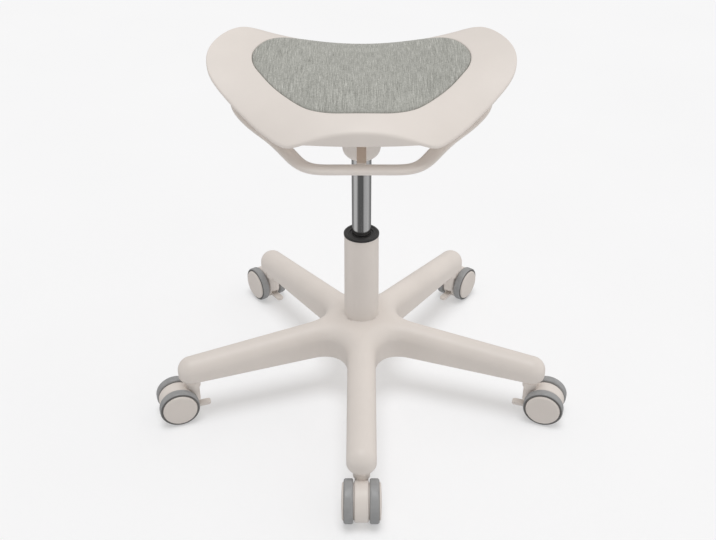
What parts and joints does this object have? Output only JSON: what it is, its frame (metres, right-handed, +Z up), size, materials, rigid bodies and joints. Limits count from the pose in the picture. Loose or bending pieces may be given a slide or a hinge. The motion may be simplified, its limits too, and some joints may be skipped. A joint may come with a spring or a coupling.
{
  "type": "ergonomic stool",
  "caption": "Saddle stool with a padded moulded seat, a ring lever under it, a gas lift column and a star base on twin-wheel casters.",
  "frame": {"origin": "on the floor, under the axis of the gas lift column", "axes": "+Z up along the column; -Y towards the front edge of the seat; +X to the right of someone who looks along +Y at that edge"},
  "size_m": [0.6316, 0.6008, 0.5479],
  "materials": {
    "body_plastic": "fine satin moulding, warm white",
    "body_paint": "powder coat, warm white",
    "housing_metal": "die casting with a warm white powder coat",
    "cap_plastic": "satin moulding, warm beige",
    "tread_rubber": "soft grey tread",
    "black_plastic": "black moulding",
    "black_rubber": "matt black buffer",
    "bright_tube": "ground and chromed tube",
    "steel": "zinc plated",
    "plate_metal": "black powder coat",
    "board_plastic": "plain board",
    "pad_fabric": "fine heathered grey weave"
  },
  "bodies": {
    "base": {"star_base": "body_plastic", "column_tube": "body_paint", "guide_bush": "black_plastic", "thrust_race": "steel"},
    "rod": {"piston_rod": "steel", "ball_cage": "steel", "bump_stop": "black_rubber", "rod_clip": "steel"},
    "seat": {"gas_cylinder": "bright_tube", "mechanism_housing": "housing_metal", "lever_pin": "steel", "seat_plate": "plate_metal", "plate_screws": "steel", "seat_pan": "body_plastic", "seat_shell": "body_plastic", "pad_board": "board_plastic", "pan_screws": "steel", "seat_pad": "pad_fabric"},
    "lever": {"ring_lever": "body_plastic"},
    "button": {"release_button": "black_plastic"},
    "caster_1": {"caster_1_stem": "steel", "caster_1_housing": "body_plastic", "caster_1_axle": "steel"},
    "caster_1_left": {"caster_1_wheel_left": "cap_plastic", "caster_1_tread_left": "tread_rubber"},
    "caster_1_right": {"caster_1_wheel_right": "cap_plastic", "caster_1_tread_right": "tread_rubber"},
    "caster_1_brake": {"caster_1_brake_pedal": "body_plastic"},
    "caster_2": {"caster_2_stem": "steel", "caster_2_housing": "body_plastic", "caster_2_axle": "steel"},
    "caster_2_left": {"caster_2_wheel_left": "cap_plastic", "caster_2_tread_left": "tread_rubber"},
    "caster_2_right": {"caster_2_wheel_right": "cap_plastic", "caster_2_tread_right": "tread_rubber"},
    "caster_2_brake": {"caster_2_brake_pedal": "body_plastic"},
    "caster_3": {"caster_3_stem": "steel", "caster_3_housing": "body_plastic", "caster_3_axle": "steel"},
    "caster_3_left": {"caster_3_wheel_left": "cap_plastic", "caster_3_tread_left": "tread_rubber"},
    "caster_3_right": {"caster_3_wheel_right": "cap_plastic", "caster_3_tread_right": "tread_rubber"},
    "caster_3_brake": {"caster_3_brake_pedal": "body_plastic"},
    "caster_4": {"caster_4_stem": "steel", "caster_4_housing": "body_plastic", "caster_4_axle": "steel"},
    "caster_4_left": {"caster_4_wheel_left": "cap_plastic", "caster_4_tread_left": "tread_rubber"},
    "caster_4_right": {"caster_4_wheel_right": "cap_plastic", "caster_4_tread_right": "tread_rubber"},
    "caster_4_brake": {"caster_4_brake_pedal": "body_plastic"},
    "caster_5": {"caster_5_stem": "steel", "caster_5_housing": "body_plastic", "caster_5_axle": "steel"},
    "caster_5_left": {"caster_5_wheel_left": "cap_plastic", "caster_5_tread_left": "tread_rubber"},
    "caster_5_right": {"caster_5_wheel_right": "cap_plastic", "caster_5_tread_right": "tread_rubber"},
    "caster_5_brake": {"caster_5_brake_pedal": "body_plastic"}
  },
  "joints": [
    {"name": "column_swivel", "type": "hinge", "parent": "base", "child": "rod", "pos_m": [0, 0, 0.07], "axis": [0, 0, 1], "continuous": true},
    {"name": "height_slide", "type": "slide", "parent": "rod", "child": "seat", "axis": [0, 0, 1], "range_m": [-0.115, 0]},
    {"name": "ring_lift", "type": "hinge", "parent": "seat", "child": "lever", "pos_m": [0, -0.022, 0.449], "axis": [-1, 0, 0], "range_deg": [0, 5], "stiffness_Nm_per_rad": 6, "springref_deg": -11.46},
    {"name": "button_press", "type": "slide", "parent": "seat", "child": "button", "axis": [0, 0, -1], "range_m": [0, 0.0025]},
    {"name": "caster_1_swivel", "type": "hinge", "parent": "base", "child": "caster_1", "pos_m": [0, -0.27, 0.07], "axis": [0, 0, 1], "continuous": true},
    {"name": "caster_1_left_spin", "type": "hinge", "parent": "caster_1", "child": "caster_1_left", "pos_m": [0, -0.295, 0.03], "axis": [1, 0, 0], "continuous": true},
    {"name": "caster_1_right_spin", "type": "hinge", "parent": "caster_1", "child": "caster_1_right", "pos_m": [0, -0.295, 0.03], "axis": [1, 0, 0], "continuous": true},
    {"name": "caster_1_brake_press", "type": "hinge", "parent": "caster_1", "child": "caster_1_brake", "pos_m": [0, -0.276, 0.016], "axis": [-1, 0, 0], "range_deg": [0, 12]},
    {"name": "caster_2_swivel", "type": "hinge", "parent": "base", "child": "caster_2", "pos_m": [0.25678, -0.08343, 0.07], "axis": [0, 0, 1], "continuous": true},
    {"name": "caster_2_left_spin", "type": "hinge", "parent": "caster_2", "child": "caster_2_left", "pos_m": [0.28056, -0.09116, 0.03], "axis": [0.309, 0.9511, 0], "continuous": true},
    {"name": "caster_2_right_spin", "type": "hinge", "parent": "caster_2", "child": "caster_2_right", "pos_m": [0.28056, -0.09116, 0.03], "axis": [0.309, 0.9511, 0], "continuous": true},
    {"name": "caster_2_brake_press", "type": "hinge", "parent": "caster_2", "child": "caster_2_brake", "pos_m": [0.26249, -0.08529, 0.016], "axis": [-0.309, -0.9511, 0], "range_deg": [0, 12]},
    {"name": "caster_3_swivel", "type": "hinge", "parent": "base", "child": "caster_3", "pos_m": [0.1587, 0.21843, 0.07], "axis": [0, 0, 1], "continuous": true},
    {"name": "caster_3_left_spin", "type": "hinge", "parent": "caster_3", "child": "caster_3_left", "pos_m": [0.1734, 0.23866, 0.03], "axis": [-0.809, 0.5878, 0], "continuous": true},
    {"name": "caster_3_right_spin", "type": "hinge", "parent": "caster_3", "child": "caster_3_right", "pos_m": [0.1734, 0.23866, 0.03], "axis": [-0.809, 0.5878, 0], "continuous": true},
    {"name": "caster_3_brake_press", "type": "hinge", "parent": "caster_3", "child": "caster_3_brake", "pos_m": [0.16223, 0.22329, 0.016], "axis": [0.809, -0.5878, 0], "range_deg": [0, 12]},
    {"name": "caster_4_swivel", "type": "hinge", "parent": "base", "child": "caster_4", "pos_m": [-0.1587, 0.21843, 0.07], "axis": [0, 0, 1], "continuous": true},
    {"name": "caster_4_left_spin", "type": "hinge", "parent": "caster_4", "child": "caster_4_left", "pos_m": [-0.1734, 0.23866, 0.03], "axis": [-0.809, -0.5878, 0], "continuous": true},
    {"name": "caster_4_right_spin", "type": "hinge", "parent": "caster_4", "child": "caster_4_right", "pos_m": [-0.1734, 0.23866, 0.03], "axis": [-0.809, -0.5878, 0], "continuous": true},
    {"name": "caster_4_brake_press", "type": "hinge", "parent": "caster_4", "child": "caster_4_brake", "pos_m": [-0.16223, 0.22329, 0.016], "axis": [0.809, 0.5878, 0], "range_deg": [0, 12]},
    {"name": "caster_5_swivel", "type": "hinge", "parent": "base", "child": "caster_5", "pos_m": [-0.25678, -0.08343, 0.07], "axis": [0, 0, 1], "continuous": true},
    {"name": "caster_5_left_spin", "type": "hinge", "parent": "caster_5", "child": "caster_5_left", "pos_m": [-0.28056, -0.09116, 0.03], "axis": [0.309, -0.9511, 0], "continuous": true},
    {"name": "caster_5_right_spin", "type": "hinge", "parent": "caster_5", "child": "caster_5_right", "pos_m": [-0.28056, -0.09116, 0.03], "axis": [0.309, -0.9511, 0], "continuous": true},
    {"name": "caster_5_brake_press", "type": "hinge", "parent": "caster_5", "child": "caster_5_brake", "pos_m": [-0.26249, -0.08529, 0.016], "axis": [-0.309, 0.9511, 0], "range_deg": [0, 12]}
  ],
  "couplings": [
    {"joint": "button_press", "follows": "ring_lift", "m_per_rad": 0.022}
  ]
}
